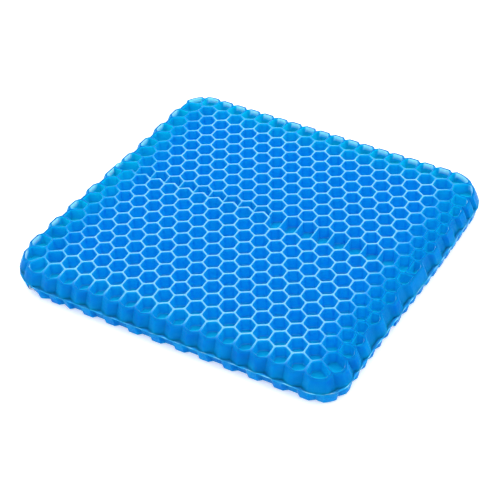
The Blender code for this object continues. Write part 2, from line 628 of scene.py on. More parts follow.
@dataclass
class CellMouth:
    """One cell seen from its open face: a polygon with a wall of its own along each edge.

    A corner that bends more than SHARP is sampled three times, up to SPREAD radians and SPREAD_SHARE of the
    way to the next corner on either side. A cell with a corner that turns in by more than BITE is bitten,
    and its walls keep their corners, because it isn't convex.
    """

    SHARP: ClassVar[float] = 0.3
    SPREAD: ClassVar[float] = 0.13
    SPREAD_SHARE: ClassVar[float] = 0.3
    BITE: ClassVar[float] = -0.2
    NEAREST: ClassVar[float] = 0.4 * MM
    PARALLEL: ClassVar[float] = 0.25

    corners: list[Point]
    wall: list[float]
    roundness: float = 12.0

    def __post_init__(self) -> None:
        """Works out the middle, the edges and the directions in which the cell is sampled."""
        self.middle = centroid(self.corners)
        count = len(self.corners)
        self.edges = []
        for place in range(count):
            (ax, ay), (bx, by) = self.corners[place], self.corners[(place + 1) % count]
            length = max(math.hypot(bx - ax, by - ay), 0.001 * MM)
            normal = ((by - ay) / length, -(bx - ax) / length)
            reach = (ax - self.middle[0]) * normal[0] + (ay - self.middle[1]) * normal[1]
            self.edges.append((normal, reach, self.wall[place]))
        turns = [cross(a[0], b[0]) for a, b in zip(self.edges, self.edges[1:] + self.edges[:1])]
        self.bitten = min(turns) < self.BITE
        self.size = sum(math.dist(corner, self.middle) for corner in self.corners) / count
        around = [math.atan2(y - self.middle[1], x - self.middle[0]) for x, y in self.corners]
        gaps = [(b - a) % (2 * math.pi) for a, b in zip(around, around[1:] + around[:1])]
        self.angles = []
        for place, angle in enumerate(around):
            bend = cross(self.edges[place - 1][0], self.edges[place][0])
            spread = min(self.SPREAD, self.SPREAD_SHARE * gaps[place - 1], self.SPREAD_SHARE * gaps[place])
            self.angles.append([angle - spread, angle, angle + spread] if bend > self.SHARP else [angle])

    def ring(self, more: float, share: float = 1.0) -> list[list[Point]]:
        """The cell's outline drawn in from its wall.

        Args:
            more: how much further than the wall it is drawn in.
            share: the share of the wall that counts, 0 on the wall's middle and 1 on its face.

        Returns:
            One list of points for each corner.
        """
        if self.bitten:
            return [[self.mitred(place, more, share)] for place in range(len(self.corners))]
        rows = []
        for spread in self.angles:
            row = []
            for angle in spread:
                ray = (math.cos(angle), math.sin(angle))
                total = 0.0
                for normal, reach, wall in self.edges:
                    facing = ray[0] * normal[0] + ray[1] * normal[1]
                    if facing > 0:
                        off = max(reach - wall * share - more, self.NEAREST)
                        total += (facing / off) ** self.roundness
                distance = total ** (-1 / self.roundness)
                row.append((self.middle[0] + ray[0] * distance, self.middle[1] + ray[1] * distance))
            rows.append(row)
        return rows

    def mitred(self, place: int, more: float, share: float) -> Point:
        """Draws one corner of a bitten cell in along both its walls.

        Args:
            place: the corner's number.
            more: how much further than the wall it is drawn in.
            share: the share of the wall that counts.

        Returns:
            The corner's new place.
        """
        (before, reach_a, wall_a), (here, reach_b, wall_b) = self.edges[place - 1], self.edges[place]
        reach_a, reach_b = reach_a - wall_a * share, reach_b - wall_b * share
        bend = cross(before, here)
        if abs(bend) > self.PARALLEL:
            x = (reach_a * here[1] - reach_b * before[1]) / bend
            y = (reach_b * before[0] - reach_a * here[0]) / bend
        else:
            x = self.corners[place][0] - self.middle[0] - (before[0] + here[0]) / 2 * wall_b * share
            y = self.corners[place][1] - self.middle[1] - (before[1] + here[1]) / 2 * wall_b * share
        shrink = 1 - more / max(self.size, 3 * more)
        return self.middle[0] + x * shrink, self.middle[1] + y * shrink


class MeshWriter:
    """Collects points with their masks, and faces, and makes one mesh of them."""

    # rim carries a painted highlight, edge and window painted light, and the last mask painted shade. sink
    # mixes in the deep colour, which is painted light in the cells, and skin the outer walls' colour, which
    # also darkens fading rims as painted shade.
    MASKS = ("rim", "edge", "sink", "window", "skin", "fold")

    def __init__(self) -> None:
        """Starts an empty mesh."""
        self.points: list[tuple[float, float, float]] = []
        self.masks: list[Masks] = []
        self.faces: list[list[int]] = []

    def point(self, x: float, y: float, z: float, masks: Masks) -> int:
        """Adds one point.

        Args:
            x: its X.
            y: its Y.
            z: its Z.
            masks: its masks, in the order of MASKS.

        Returns:
            The point's number.
        """
        self.points.append((x, y, z))
        self.masks.append(masks)
        return len(self.points) - 1

    def strip(self, upper: list[int], lower: list[int]) -> None:
        """Joins two closed rings of as many points with faces.

        Args:
            upper: the outer ring.
            lower: the inner ring.
        """
        for place in range(len(upper)):
            after = (place + 1) % len(upper)
            self.faces.append([upper[place], upper[after], lower[after], lower[place]])

    def build(self, name: str, flip: bool) -> bpy.types.Object:
        """Makes the object.

        Args:
            name: the object's name.
            flip: turns every face round.

        Returns:
            The object, linked to the scene.
        """
        mesh = bpy.data.meshes.new(name)
        faces = [face[::-1] for face in self.faces] if flip else self.faces
        mesh.from_pydata(self.points, [], faces)
        values = np.array(self.masks, np.float32)
        for place, mask in enumerate(self.MASKS):
            layer = mesh.attributes.new(mask, "FLOAT", "POINT")
            layer.data.foreach_set("value", values[:, place].copy())
        mesh.shade_smooth()
        mesh.set_sharp_from_angle(angle=SHARP_ANGLE)
        mesh.validate()
        made = bpy.data.objects.new(name, mesh)
        bpy.context.scene.collection.objects.link(made)
        return made


@dataclass(frozen=True)
class CellRing:
    """A ring of points round the inside of a cell.

    share is how much of the wall it stands back by and more what it stands back beyond that. It lies as
    deep as of_depth, a share of the cell's depth, and below, a length, together. pale is how much of the
    rims' pale colour, a painted highlight, it takes.
    """

    share: float
    more: float
    of_depth: float
    below: float
    pale: float


# The pale shares paint the rims' highlight colour: strongly on the rounded rim, and weakly in a band just
# above the floor.
CELL_RINGS = (
    CellRing(0.42, 0.00 * MM, 0.00, 0.04 * MM, 1.00),
    CellRing(0.74, 0.00 * MM, 0.00, 0.18 * MM, 0.65),
    CellRing(0.95, 0.00 * MM, 0.00, 0.55 * MM, 0.14),
    CellRing(1.00, 0.01 * MM, 0.00, 1.15 * MM, 0.02),
    CellRing(1.00, 0.15 * MM, 0.36, 0.00 * MM, 0.00),
    CellRing(1.00, 0.30 * MM, 0.70, 0.00 * MM, 0.00),
    CellRing(1.00, 0.50 * MM, 1.00, -1.6 * MM, 0.00),
    CellRing(1.00, 0.80 * MM, 1.00, -0.8 * MM, 0.22),
    CellRing(1.00, 1.50 * MM, 1.00, -0.1 * MM, 0.00),
)


@dataclass(frozen=True)
class OuterRing:
    """A ring of points round the outside of a comb.

    drop, lean and scallop are shares of the wall's height, its draft and the scallops' depth, and pale is
    how much painted highlight it takes.
    """

    drop: float
    lean: float
    scallop: float
    pale: float


# The pale shares paint a weak highlight along the top of the outer wall.
OUTER_RINGS = (
    OuterRing(0.02, 0.05, 1.00, 0.12),
    OuterRing(0.07, 0.12, 1.00, 0.04),
    OuterRing(0.20, 0.27, 1.00, 0.00),
    OuterRing(0.45, 0.52, 0.97, 0.00),
    OuterRing(0.75, 0.80, 0.92, 0.00),
    OuterRing(0.93, 0.95, 0.85, 0.00),
    OuterRing(1.00, 1.10, 0.75, 0.00),
)


@dataclass(frozen=True)
class Fade:
    """How the rims' painted highlight fades towards one side, into painted shade: dark this near to the edge
    and bright this far in, in pitches.
    """

    dark: float
    bright: float

    def share(self, pitches: float) -> float:
        """How strong a rim's painted highlight is this far from the edge, from 0 to 1."""
        return clamped((pitches - self.dark) / (self.bright - self.dark))


@dataclass(frozen=True)
class CellLook:
    """One cell's own values: how near the edge it lies, where its top is and how deep it goes.

    deep is how much of the deep colour its walls take, painted light that stands in for light through the
    walls, and wide how much of the skin's, which shows where a cell is stretched open.
    """

    near_edge: float
    top: float
    depth: float
    deep: float
    wide: float


@dataclass(frozen=True)
class CellCorner:
    """One corner of a cell: how far it dips, whether its walls are thin, and how much light they let in."""

    dip: float
    thin: bool
    clear: float


@dataclass
class Comb:
    """One comb of cells, from its open face to the web.

    draft is how far the outer wall leans, scallop how deep the valleys between its columns are, and crown
    how far the open face drops at the edge, over crown_reach. crease_dip is how far walls dip at the crease,
    and crease_dull how much the painted highlight on their rims fades there. Where the painted highlight on
    rims fades round the edge, painted shade darkens them by a share: one for the walls' middles, one for the
    cells' own rims and one for the rims of the outermost cells.
    """

    name: str
    side: Side
    outline: Outline
    pitch: float
    wall: float
    draft: float
    scallop: float
    crown: float
    crown_reach: float
    face: float
    base: float
    lip: float = 1.0 * MM
    floor: float = 2.6 * MM
    outer_wall: float = 1.1 * MM
    slope: float = 4.2 * MM
    front_slope: float = 8.6 * MM
    crease_dip: float = 1.4 * MM
    crease_dull: float = 0.75
    crown_power: float = 2.2
    even_size: float = 0.58
    glow_reach: float = 2.3
    glow_lost: float = 0.7
    glow_across: float = 0.20
    glow_along: float = 0.16
    middle_shade: float = 0.80
    cell_shade: float = 0.75
    outer_shade: float = 0.90
    left_fade: Fade = Fade(0.2, 3.4)
    right_fade: Fade = Fade(0.5, 2.6)
    rear_fade: Fade = Fade(0.5, 1.9)
    front_fade: Fade = Fade(-0.1, 1.0)
    corner_fade: Fade = Fade(-0.2, 0.9)

    @property
    def inset(self) -> float:
        """How far the open face is drawn in from the cushion's outline."""
        return self.lip + self.draft

    def surface(self, x: float, y: float) -> float:
        """The height of the open face, which rounds over towards the edge."""
        share = clamped(1 - self.outline.inside(x, y, self.inset)[0] / self.crown_reach)
        return self.face - self.side.value * self.crown * share**self.crown_power

    def near_edge(self, x: float, y: float) -> float:
        """How much light comes in through the outer wall.

        Args:
            x: a point's X.
            y: the point's Y.

        Returns:
            At most 1, at the edge, falling to 0 over glow_reach pitches, and less on the right and in front.
        """
        across = x - self.outline.drift(y)
        distance = self.outline.inside(x, y, self.inset)[0]
        share = clamped(1 - distance / (self.glow_reach * self.pitch))
        shaded = clamped(0.5 + across / self.glow_across - y / self.glow_along)
        return share * (1 - self.glow_lost * shaded)

    def brightness(self, x: float, y: float) -> float:
        """How strong a rim's painted highlight is: it fades where the face rounds over, and least along the
        front.

        Args:
            x: a point's X.
            y: the point's Y.

        Returns:
            From 0 to 1.
        """
        across = x - self.outline.drift(y)
        half_width = self.outline.half_width - self.inset
        distances = (
            (self.left_fade, half_width + across),
            (self.right_fade, half_width - across),
            (self.rear_fade, self.outline.length(x, 1.0) - self.inset - y),
            (self.front_fade, self.outline.length(x, -1.0) - self.inset + y),
            (self.corner_fade, self.outline.inside(x, y, self.inset)[0]),
        )
        return eased(min(fade.share(distance / self.pitch) for fade, distance in distances))

    def settled(self, cells: Field, shape: EdgeShape) -> tuple[Walls, Tiling]:
        """Tiles the cells, moving the outermost ones to their own middles, and those in the corners more.

        Args:
            cells: the cells' centres.
            shape: how the outermost cells stretch.

        Returns:
            The walls and the tiling.
        """
        rounds = 4
        corner_band = 1.3 * self.pitch
        slanted = 0.02
        stays, moves = 0.4, 0.6
        centres = cells.centres
        for again in range(rounds):
            walls = walls_between(Field(centres, cells.outside, cells.beyond), MERGE * self.pitch)
            draft = shape.close(walls)
            outer = [pair for pair, kind in walls.border.items() if kind is Border.OUTSIDE]
            edge = {node for pair in outer for node in pair}
            moved = []
            for centre, ring, cell in zip(centres, walls.rings, draft.cells):
                distance, out_x, out_y = self.outline.inside(*centre, self.inset)
                corner = min(abs(out_x), abs(out_y)) > slanted and distance < corner_band
                if corner or (not again and edge.intersection(ring)):
                    middle = centroid([draft.points[node] for node in cell])
                    centre = (stays * centre[0] + moves * middle[0], stays * centre[1] + moves * middle[1])
                moved.append(centre)
            centres = moved
        walls = walls_between(Field(centres, cells.outside, cells.beyond), MERGE * self.pitch)
        return walls, shape.close(walls)

    def build(self, fields: list[Field]) -> bpy.types.Object:
        """Makes the comb's mesh.

        Args:
            fields: the cells, as one field, or as the rear one and the front one that meet at a crease.

        Returns:
            The comb, as one closed body.
        """
        shape = EdgeShape(self.outline, self.inset, self.scallop, self.slope, self.front_slope)
        parts = [self.settled(cells, shape) for cells in fields]
        tiling = parts[0][1]
        if len(parts) == 2:
            (rear_walls, rear), (front_walls, front) = parts
            tiling = Crease(rear, front, rear_walls.border, front_walls.border, 0.05 * self.pitch).join()
        writer = MeshWriter()
        loop = tiling.rim()
        nodes = self.add_face(writer, tiling)
        rim = set(loop)
        for cell in tiling.cells:
            self.add_cell(writer, tiling, cell, nodes, rim)
        foot = self.add_outer_wall(writer, tiling, loop, nodes)
        for node in nodes:
            if node not in foot:
                foot[node] = writer.point(*tiling.points[node], self.base, (0.0, 0.0, 1.0, 0.0, 1.0, 0.0))
        for cell in tiling.cells:
            writer.faces.append([foot[node] for node in reversed(cell)])
        return writer.build(self.name, flip=self.side is Side.DOWN)

    def add_face(self, writer: MeshWriter, tiling: Tiling) -> dict[int, int]:
        """Adds the points of the open face at which the middles of the walls meet.

        Args:
            writer: the mesh under construction.
            tiling: the cells.

        Returns:
            The mesh point at each of the tiling's corners.
        """
        nodes = {}
        for node in dict.fromkeys(node for cell in tiling.cells for node in cell):
            x, y = tiling.points[node]
            dip = tiling.sunk.get(node, 0.0)
            light = self.brightness(x, y)
            # The rim takes a painted highlight, which fades towards the edge and at the crease; as it fades,
            # painted shade darkens the rim and mixes in the skin colour. The edge mask paints the light that
            # comes in through the outer wall.
            bright = light**2 * (1 - self.crease_dull * dip)
            dark = self.middle_shade * (1 - light)
            z = self.surface(x, y) - self.side.value * self.crease_dip * dip
            masks = (bright, self.near_edge(x, y), 0.0, 0.0, 1 - light, dark)
            nodes[node] = writer.point(x, y, z, masks)
        return nodes

    def look(self, mouth: CellMouth, creased: bool) -> CellLook:
        """Works out one cell's own values.

        Args:
            mouth: the cell.
            creased: whether it lies on the crease.

        Returns:
            The values.
        """
        edge = self.near_edge(*mouth.middle)
        top = self.surface(*mouth.middle)
        depth = abs(top - self.base) - self.floor
        # Smaller cells take more of the deep colour, painted light; cells on the crease take a little less.
        deep = min(1.0, (self.even_size * self.pitch / mouth.size) ** 3)
        if creased:
            deep_at_crease = 0.9
            return CellLook(edge, top, depth, deep_at_crease * deep, 0.0)
        away_from_edge = max(0.0, 1 - 1.6 * edge)
        most = 0.8
        return CellLook(edge, top, depth, deep, most * away_from_edge * (1 - deep))

    def ring_point(
        self, x: float, y: float, ring: CellRing, look: CellLook, corner: CellCorner
    ) -> tuple[float, Masks]:
        """Works out how one point on a cell's wall stands and looks.

        Args:
            x: the point's X.
            y: the point's Y.
            ring: the ring that it is on.
            look: the cell's own values.
            corner: the corner of the cell that it belongs to.

        Returns:
            The point's height and its masks.
        """
        even_from, window_from, rim_to = 2 * MM, 0.4 * MM, 0.3 * MM
        drop = ring.of_depth * look.depth + ring.below
        start = look.top
        if drop < even_from:
            start = self.surface(x, y) - self.side.value * self.crease_dip * corner.dip
        light = self.brightness(x, y)
        # The pale rings take a painted highlight, which fades towards the edge and at the crease.
        bright = ring.pale * light**2 * (1 - self.crease_dull * corner.dip)
        # Deeper down, the walls take more of the deep colour: painted light that stands in for light through
        # the walls.
        sink = look.deep * drop / look.depth
        # Painted light where a thin outer wall lets light in from outside.
        window = corner.clear if window_from < drop < 0.5 * look.depth else 0.0
        dull = look.wide * min(2 * drop / look.depth, 1.0)
        dark = 0.0
        # At the top of the rim, where the painted highlight fades, painted shade darkens it and mixes in the
        # skin colour.
        if drop < rim_to:
            dull = 1 - light
            dark = (self.outer_shade if corner.thin else self.cell_shade) * (1 - light)
        return start - self.side.value * drop, (bright, look.near_edge, sink, window, dull, dark)

    def add_cell(
        self, writer: MeshWriter, tiling: Tiling, cell: list[int], nodes: dict[int, int], rim: set[int]
    ) -> None:
        """Adds one cell: its rounded rim, its tapered walls and its floor.

        Args:
            writer: the mesh under construction.
            tiling: the cells.
            cell: this cell's corners.
            nodes: the mesh point at each corner of the open face.
            rim: the tiling's corners on its outer edge.
        """
        walls = []
        corners = []
        for place, node in enumerate(cell):
            after = cell[(place + 1) % len(cell)]
            walls.append(self.outer_wall if node in rim and after in rim else self.wall / 2)
            thin = {cell[place - 1], node, after} <= rim
            clear = max(0.0, 1 - tiling.draw_in.get(node, 0.0) / (0.5 * self.scallop))
            corners.append(CellCorner(tiling.sunk.get(node, 0.0), thin, clear if thin else 0.0))
        mouth = CellMouth([tiling.points[node] for node in cell], walls)
        look = self.look(mouth, creased=any(node in tiling.sunk for node in cell))
        rings = []
        for ring in CELL_RINGS:
            made = []
            for corner, row in zip(corners, mouth.ring(ring.more, ring.share)):
                numbers = []
                for x, y in row:
                    z, masks = self.ring_point(x, y, ring, look, corner)
                    numbers.append(writer.point(x, y, z, masks))
                made.append(numbers)
            rings.append(made)
        first = rings[0]
        for place, node in enumerate(cell):
            after = (place + 1) % len(cell)
            spread = first[place]
            for left, right in zip(spread, spread[1:]):
                writer.faces.append([nodes[node], right, left])
            writer.faces.append([nodes[node], nodes[cell[after]], first[after][0], spread[-1]])
        flat = [[number for row in ring for number in row] for ring in rings]
        for upper, lower in zip(flat, flat[1:]):
            writer.strip(upper, lower)
        writer.faces.append(flat[-1])

    def add_outer_wall(
        self, writer: MeshWriter, tiling: Tiling, loop: list[int], nodes: dict[int, int]
    ) -> dict[int, int]:
        """Adds the leaning outer wall, from the open face to the web.

        Args:
            writer: the mesh under construction.
            tiling: the cells.
            loop: the tiling's corners on its outer edge.
            nodes: the mesh point at each corner of the open face.

        Returns:
            The mesh point at the foot of the wall below each corner of the loop.
        """
        upper = [nodes[node] for node in loop]
        for ring in OUTER_RINGS:
            lower = []
            for node in loop:
                inset = self.inset - self.draft * ring.lean + tiling.draw_in[node] * ring.scallop
                x, y = self.outline.snap(tiling.points[node], max(inset, self.lip))
                top = self.surface(*tiling.points[node])
                z = top + (self.base - top) * ring.drop
                lower.append(writer.point(x, y, z, self.outer_masks(tiling, node, ring)))
            writer.strip(lower, upper)
            upper = lower
        return dict(zip(loop, upper))

    def outer_masks(self, tiling: Tiling, node: int, ring: OuterRing) -> Masks:
        """Works out how one point on the outer wall looks: painted shade darkens it in the valleys and round
        the top, and the top takes a painted highlight.

        Args:
            tiling: the cells.
            node: the tiling's corner above it.
            ring: the ring that it is on.

        Returns:
            The point's masks.
        """
        light = self.brightness(*tiling.points[node])
        valley_from, valley_shade = 0.4, 0.5
        valley = max(0.0, tiling.draw_in[node] / self.scallop - valley_from)
        # Painted shade in the valleys between the columns, and round the top where the rims' painted
        # highlight fades.
        fold = valley_shade * valley * min(5 * ring.drop, 1.0)
        fold += self.middle_shade * (1 - light) * max(0.0, 1 - 6 * ring.drop)
        return ring.pale * light**2, 0.0, ring.drop, 0.0, min(8 * ring.drop, 1.0), fold


@dataclass
class UpperComb:
    """The comb that opens upwards, with the crease where its two halves meet.

    least and least_right say how near the edge a cell's centre may lie, stand_off how far in it then moves
    at the least, and step_in where the front half's first row begins. All are in pitches.
    """

    comb: Comb
    rear: Lattice = Lattice((0.2 * UPPER_PITCH, 5.82 * UPPER_PITCH), UPPER_PITCH)
    front: Lattice = Lattice((2.476 * UPPER_PITCH, -5.057 * UPPER_PITCH), UPPER_PITCH, -0.02845)
    last_rear_row: int = 6
    first_front_row: int = -6
    step_in: float = 0.9
    least: float = 0.27
    least_right: float = -0.12
    stand_off: float = 0.35

    def fields(self) -> list[Field]:
        """Sorts the lattice points of both halves into cells and points past the edge.

        Returns:
            The rear half's and the front half's.
        """
        rear, front = Field(), Field()
        columns = range(-22, 23)
        rear_rows = range(-6, self.last_rear_row + 4)
        front_rows = range(self.first_front_row - 3, 8)
        for column in columns:
            for row in rear_rows:
                place = self.rear.centre(column + 0.5 * (row % 2), row)
                self.sort_in(place, rear, row > self.last_rear_row)
            for row in front_rows:
                place = self.front.centre(column + 0.5 * (row % 2), row)
                short_row = row == self.first_front_row and place[0] > self.step_in * UPPER_PITCH
                self.sort_in(place, front, row < self.first_front_row or short_row)
        return [rear, front]

    def sort_in(self, place: Point, cells: Field, past: bool) -> None:
        """Adds one lattice point to the cells or to the points past the edge or the crease.

        Args:
            place: the lattice point.
            cells: the half's points, which take it in.
            past: whether it lies past the crease.
        """
        comb = self.comb
        distance, out_x, out_y = comb.outline.inside(*place, comb.inset)
        if distance < -PAST_EDGE * comb.pitch:
            return
        least = self.least_right if out_x == 1.0 else self.least
        short = max(self.stand_off * comb.pitch - distance, 0.0)
        if distance < least * comb.pitch:
            cells.outside.append(place)
        elif past:
            cells.beyond.append(place)
        else:
            cells.centres.append((place[0] - short * out_x, place[1] - short * out_y))

    def build(self) -> bpy.types.Object:
        """Makes the upper comb.

        Returns:
            The object.
        """
        fields = self.fields()
        made = self.comb.build(fields)
        LOG.info("%s: %d cells", made.name, sum(len(cells.centres) for cells in fields))
        return made


@dataclass
class LowerComb:
    """The comb of finer cells that opens downwards, with its rows turned a quarter turn."""

    comb: Comb
    shift: float = 5.3 * MM
    least: float = 0.42
    columns: int = 17
    rows: int = 15

    def build(self) -> bpy.types.Object:
        """Makes the lower comb.

        Returns:
            The object.
        """
        comb = self.comb
        cells = Field()
        for column in range(-self.columns, self.columns + 1):
            for row in range(-self.rows, self.rows + 1):
                x = self.shift + column * ROW_STEP * comb.pitch
                y = (row + 0.5 * (column % 2)) * comb.pitch
                distance = comb.outline.inside(x, y, comb.inset)[0]
                if distance >= self.least * comb.pitch:
                    cells.centres.append((x, y))
                elif distance > -PAST_EDGE * comb.pitch:
                    cells.outside.append((x, y))
        made = comb.build([cells])
        LOG.info("%s: %d cells", made.name, len(cells.centres))
        return made


@dataclass
class PartingWeb:
    """The thin web in the mould's parting plane. Its edge stands out as an uneven lip.

    PROFILE gives the edge's section: heights as shares of half the thickness, with how far each is set back.
    FACE is the masks of its two flat faces. A painted highlight makes the lip glint in two points of every
    five, least on the left.
    """

    PROFILE: ClassVar[tuple[Point, ...]] = (
        (-1.0, 0.9 * MM),
        (-0.8, 0.25 * MM),
        (0.0, 0.0),
        (0.8, 0.25 * MM),
        (1.0, 0.9 * MM),
    )
    FACE: ClassVar[Masks] = (0.0, 0.0, 0.6, 0.0, 1.0, 0.0)

    outline: Outline
    low: float
    high: float
    grid: float = 8 * MM
    spacing: float = 3.2 * MM
    set_back: float = 0.45 * MM
    unevenness: float = 0.22 * MM
    # dull, brightest and least_share are shares of the lip's painted highlight.
    dull: float = 0.04
    brightest: float = 0.7
    least_share: float = 0.15
    glint_run: float = 0.25

    def glint(self, x: float) -> float:
        """How strong the lip's painted highlight is at this X."""
        return self.brightest * min(max(0.5 + x / self.glint_run, self.least_share), 1.0)

    def plate(self, rim: list[Point]) -> tuple[list[Point], list[list[int]]]:
        """Divides the flat face into triangles, with points on an even grid inside the edge.

        Args:
            rim: the points round its edge.

        Returns:
            The points inside the edge, and triangles that count the rim's points first.
        """
        count = int(self.outline.half_width / self.grid) + 1
        places = []
        for column in range(-count, count + 1):
            for row in range(-count, count + 1):
                place = (column * self.grid, row * self.grid)
                if self.outline.inside(*place, 0.0)[0] > 0.6 * self.grid:
                    places.append(place)
        seeds = [Vector(point) for point in [*rim, *places]]
        inside_only = 1
        border = [list(range(len(rim)))]
        _, _, faces, kept, _, _ = delaunay_2d_cdt(seeds, [], border, inside_only, SAME_POINT)
        return places, [[kept[corner][0] for corner in face] for face in faces]

    def build(self) -> bpy.types.Object:
        """Makes the web as one closed plate with a rounded edge.

        Returns:
            The object.
        """
        writer = MeshWriter()
        middle = (self.low + self.high) / 2
        half = (self.high - self.low) / 2
        rings = []
        for height, back in self.PROFILE:
            ring = []
            for place, point in enumerate(self.outline.perimeter(0.0, self.spacing)):
                ragged = self.unevenness * (math.sin(1.9 * place) + math.sin(0.73 * place + 1.0))
                x, y = self.outline.snap(point, back + self.set_back + ragged * (1 - abs(height) / 2))
                # Two points of every five on the middle and upper rings of the lip take a painted highlight;
                # the rest take a weak one.
                glints = place % 5 < 2 and 0 <= height < 1
                masks = (self.glint(x) if glints else self.dull, *self.FACE[1:])
                ring.append(writer.point(x, y, middle + half * height, masks))
            rings.append(ring)
        for lower, upper in zip(rings, rings[1:]):
            writer.strip(lower, upper)
        places, triangles = self.plate([writer.points[number][:2] for number in rings[0]])
        bottom = list(rings[0])
        top = list(rings[-1])
        for x, y in places:
            bottom.append(writer.point(x, y, self.low, self.FACE))
            top.append(writer.point(x, y, self.high, self.FACE))
        for triangle in triangles:
            writer.faces.append([bottom[corner] for corner in reversed(triangle)])
            writer.faces.append([top[corner] for corner in triangle])
        made = writer.build("parting_web", flip=False)
        LOG.info("%s: edge of %d points", made.name, len(rings[0]))
        return made


def mix_colour(
    tree: bpy.types.NodeTree, factor: bpy.types.NodeSocket, first: Mixable, second: Mixable
) -> bpy.types.NodeSocket:
    """Mixes two colours.

    Args:
        tree: the node tree to add the node to.
        factor: 0 for the first colour and 1 for the second.
        first: a colour or a socket that carries one.
        second: a colour or a socket that carries one.

    Returns:
        The socket that carries the mix.
    """
    node = tree.nodes.new("ShaderNodeMix")
    node.data_type = "RGBA"
    tree.links.new(factor, node.inputs[0])
    for slot, value in ((6, first), (7, second)):
        if isinstance(value, bpy.types.NodeSocket):
            tree.links.new(value, node.inputs[slot])
        else:
            node.inputs[slot].default_value = value
    return node.outputs[2]


def mottle_group() -> bpy.types.NodeTree:
    """A node group that gives soft uneven patches and a fine grain, as masks and as a normal.

    Returns:
        The group, with sockets Patches, Grain and Normal.
    """
    name = "GelMottle"
    if name in bpy.data.node_groups:
        return bpy.data.node_groups[name]
    tree = bpy.data.node_groups.new(name, "ShaderNodeTree")
    tree.interface.new_socket("Patches", in_out="OUTPUT", socket_type="NodeSocketFloat")
    tree.interface.new_socket("Grain", in_out="OUTPUT", socket_type="NodeSocketFloat")
    tree.interface.new_socket("Normal", in_out="OUTPUT", socket_type="NodeSocketVector")
    for label, value in (("Patch Scale", 55.0), ("Grain Scale", 420.0), ("Bump", 0.25)):
        socket = tree.interface.new_socket(label, in_out="INPUT", socket_type="NodeSocketFloat")
        socket.default_value = value
    given = tree.nodes.new("NodeGroupInput")
    out = tree.nodes.new("NodeGroupOutput")
    place = tree.nodes.new("ShaderNodeTexCoord")
    darkest, lightest = 0.36, 0.66
    noises = []
    for label, detail in (("Patch Scale", 2.0), ("Grain Scale", 3.0)):
        noise = tree.nodes.new("ShaderNodeTexNoise")
        noise.inputs["Detail"].default_value = detail
        tree.links.new(place.outputs["Object"], noise.inputs["Vector"])
        tree.links.new(given.outputs[label], noise.inputs["Scale"])
        spread = tree.nodes.new("ShaderNodeMapRange")
        spread.inputs["From Min"].default_value = darkest
        spread.inputs["From Max"].default_value = lightest
        tree.links.new(noise.outputs["Fac"], spread.inputs["Value"])
        noises.append(spread.outputs["Result"])
    bump = tree.nodes.new("ShaderNodeBump")
    bump.inputs["Distance"].default_value = 0.25 * MM
    tree.links.new(given.outputs["Bump"], bump.inputs["Strength"])
    tree.links.new(noises[1], bump.inputs["Height"])
    tree.links.new(noises[0], out.inputs["Patches"])
    tree.links.new(noises[1], out.inputs["Grain"])
    tree.links.new(bump.outputs["Normal"], out.inputs["Normal"])
    return tree


